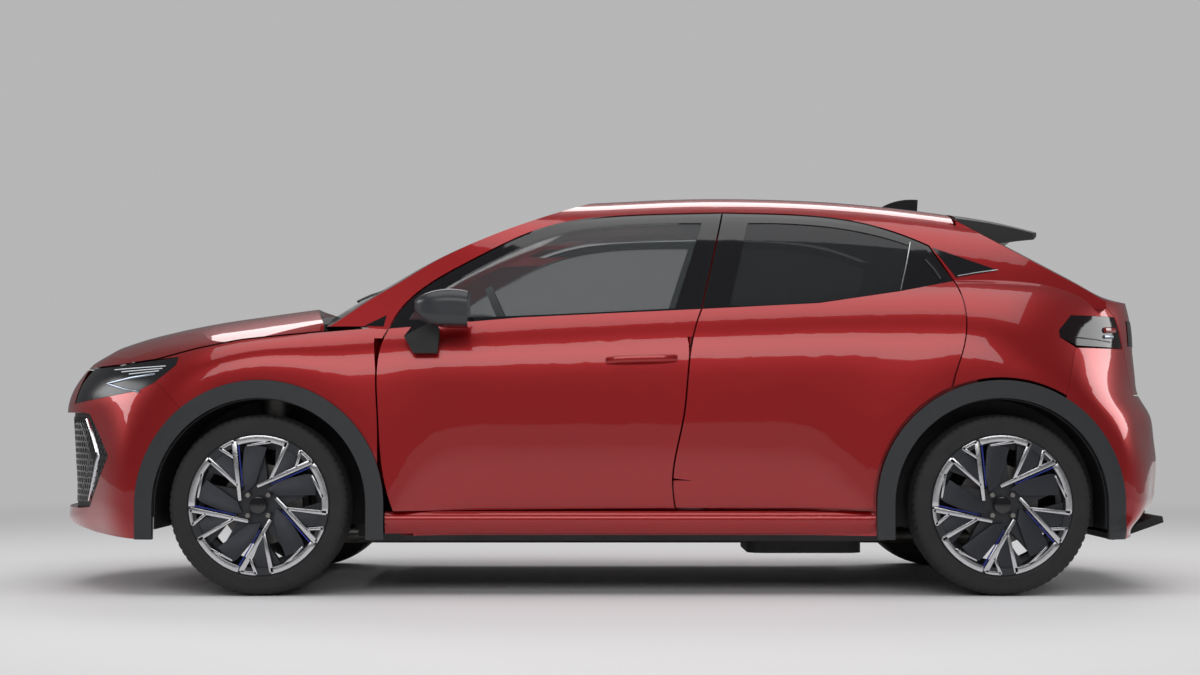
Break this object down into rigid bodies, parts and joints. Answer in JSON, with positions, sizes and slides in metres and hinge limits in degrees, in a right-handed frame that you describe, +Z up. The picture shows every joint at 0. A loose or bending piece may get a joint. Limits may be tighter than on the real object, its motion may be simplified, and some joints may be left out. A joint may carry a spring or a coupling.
{
  "type": "five-door hatchback car",
  "caption": "Small five-door hatchback car with opening doors, bonnet and tailgate, steered front wheels and freely turning wheels.",
  "frame": {"origin": "on the ground, under the middle of the car's bounding box", "axes": "+X rearwards, +Y to the car's right, +Z up"},
  "size_m": [4.1302, 2.0144, 1.4712],
  "materials": {
    "body_paint": "gloss",
    "gloss_black": "gloss",
    "grille_plastic": "satin",
    "cladding": "satin",
    "sill_paint": "gloss",
    "clear_glass": "clear",
    "side_glass": "dark tint",
    "headlamp": "clear cover",
    "tail_lamp": "gloss",
    "tyre": "matt",
    "rim": "machined and lacquered",
    "brake_iron": "turned",
    "liner_plastic": "matt",
    "underbody": "satin",
    "engine": "cast",
    "exhaust_steel": "dull",
    "cabin_plastic": "grained",
    "seat_fabric": "woven"
  },
  "bodies": {
    "car_body": {"arch_cladding": "cladding", "arch_liners": "liner_plastic", "body_side_left": "body_paint", "body_side_right": "body_paint", "centre_console": "cabin_plastic", "cowl_panel": "liner_plastic", "dashboard": "cabin_plastic", "engine_block": "engine", "exhaust": "exhaust_steel", "floor_pan": "underbody", "front_bumper": "body_paint", "front_fender_left": "body_paint", "front_fender_right": "body_paint", "front_seats": "seat_fabric", "front_suspension": "brake_iron", "fuel_tank": "underbody", "grille": "grille_plastic", "headlamps": "headlamp", "quarter_windows": "gloss_black", "rear_axle": "brake_iron", "rear_bench": "seat_fabric", "rear_bumper": "body_paint", "rear_diffuser": "cladding", "roof_antenna": "gloss_black", "roof_panel": "body_paint", "sill_covers": "sill_paint", "tail_lamps": "tail_lamp", "windscreen": "clear_glass"},
    "front_door_left": {"front_door_left": "body_paint", "front_door_glass_left": "side_glass", "door_mirror_left": "gloss_black"},
    "rear_door_left": {"rear_door_left": "body_paint", "rear_door_glass_left": "side_glass"},
    "knuckle_left": {"knuckle_left": "brake_iron"},
    "front_wheel_left": {"front_tyre_left": "tyre", "front_rim_left": "rim", "front_brake_disc_left": "brake_iron"},
    "rear_wheel_left": {"rear_tyre_left": "tyre", "rear_rim_left": "rim", "rear_brake_disc_left": "brake_iron"},
    "front_door_right": {"front_door_right": "body_paint", "front_door_glass_right": "side_glass", "door_mirror_right": "gloss_black"},
    "rear_door_right": {"rear_door_right": "body_paint", "rear_door_glass_right": "side_glass"},
    "knuckle_right": {"knuckle_right": "brake_iron"},
    "front_wheel_right": {"front_tyre_right": "tyre", "front_rim_right": "rim", "front_brake_disc_right": "brake_iron"},
    "rear_wheel_right": {"rear_tyre_right": "tyre", "rear_rim_right": "rim", "rear_brake_disc_right": "brake_iron"},
    "bonnet": {"bonnet": "body_paint"},
    "tailgate": {"tailgate": "body_paint", "rear_window": "side_glass", "rear_spoiler": "gloss_black", "tailgate_lamps": "tail_lamp"},
    "steering": {"steering_wheel": "cabin_plastic"}
  },
  "joints": [
    {"name": "front_door_left_hinge", "type": "hinge", "parent": "car_body", "child": "front_door_left", "pos_m": [-0.757, -0.826, 0.6], "axis": [0, 0, -1], "range_deg": [0, 65]},
    {"name": "rear_door_left_hinge", "type": "hinge", "parent": "car_body", "child": "rear_door_left", "pos_m": [0.286, -0.826, 0.6], "axis": [0, 0, -1], "range_deg": [0, 55]},
    {"name": "steer_left", "type": "hinge", "parent": "car_body", "child": "knuckle_left", "pos_m": [-1.224, -0.712, 0.316], "axis": [0, 0, 1], "range_deg": [-36, 36]},
    {"name": "front_wheel_left_spin", "type": "hinge", "parent": "knuckle_left", "child": "front_wheel_left", "pos_m": [-1.224, -0.774, 0.316], "axis": [0, 1, 0], "continuous": true},
    {"name": "rear_wheel_left_spin", "type": "hinge", "parent": "car_body", "child": "rear_wheel_left", "pos_m": [1.367, -0.774, 0.316], "axis": [0, 1, 0], "continuous": true},
    {"name": "front_door_right_hinge", "type": "hinge", "parent": "car_body", "child": "front_door_right", "pos_m": [-0.757, 0.826, 0.6], "axis": [0, 0, 1], "range_deg": [0, 65]},
    {"name": "rear_door_right_hinge", "type": "hinge", "parent": "car_body", "child": "rear_door_right", "pos_m": [0.286, 0.826, 0.6], "axis": [0, 0, 1], "range_deg": [0, 55]},
    {"name": "steer_right", "type": "hinge", "parent": "car_body", "child": "knuckle_right", "pos_m": [-1.224, 0.712, 0.316], "axis": [0, 0, 1], "range_deg": [-36, 36]},
    {"name": "front_wheel_right_spin", "type": "hinge", "parent": "knuckle_right", "child": "front_wheel_right", "pos_m": [-1.224, 0.774, 0.316], "axis": [0, 1, 0], "continuous": true},
    {"name": "rear_wheel_right_spin", "type": "hinge", "parent": "car_body", "child": "rear_wheel_right", "pos_m": [1.367, 0.774, 0.316], "axis": [0, 1, 0], "continuous": true},
    {"name": "steering_wheel_turn", "type": "hinge", "parent": "car_body", "child": "steering", "pos_m": [-0.372, -0.37, 0.93], "axis": [0.9135, 0, 0.4067], "range_deg": [-490, 490]},
    {"name": "bonnet_hinge", "type": "hinge", "parent": "car_body", "child": "bonnet", "pos_m": [-1.045, 0, 0.958], "axis": [0, 1, 0], "range_deg": [0, 50]},
    {"name": "tailgate_hinge", "type": "hinge", "parent": "car_body", "child": "tailgate", "pos_m": [1.225, 0, 1.372], "axis": [0, -1, 0], "range_deg": [0, 75]}
  ],
  "couplings": [
    {"joint": "steer_right", "follows": "steer_left", "ratio": 1},
    {"joint": "steering_wheel_turn", "follows": "steer_left", "ratio": 13.6}
  ]
}
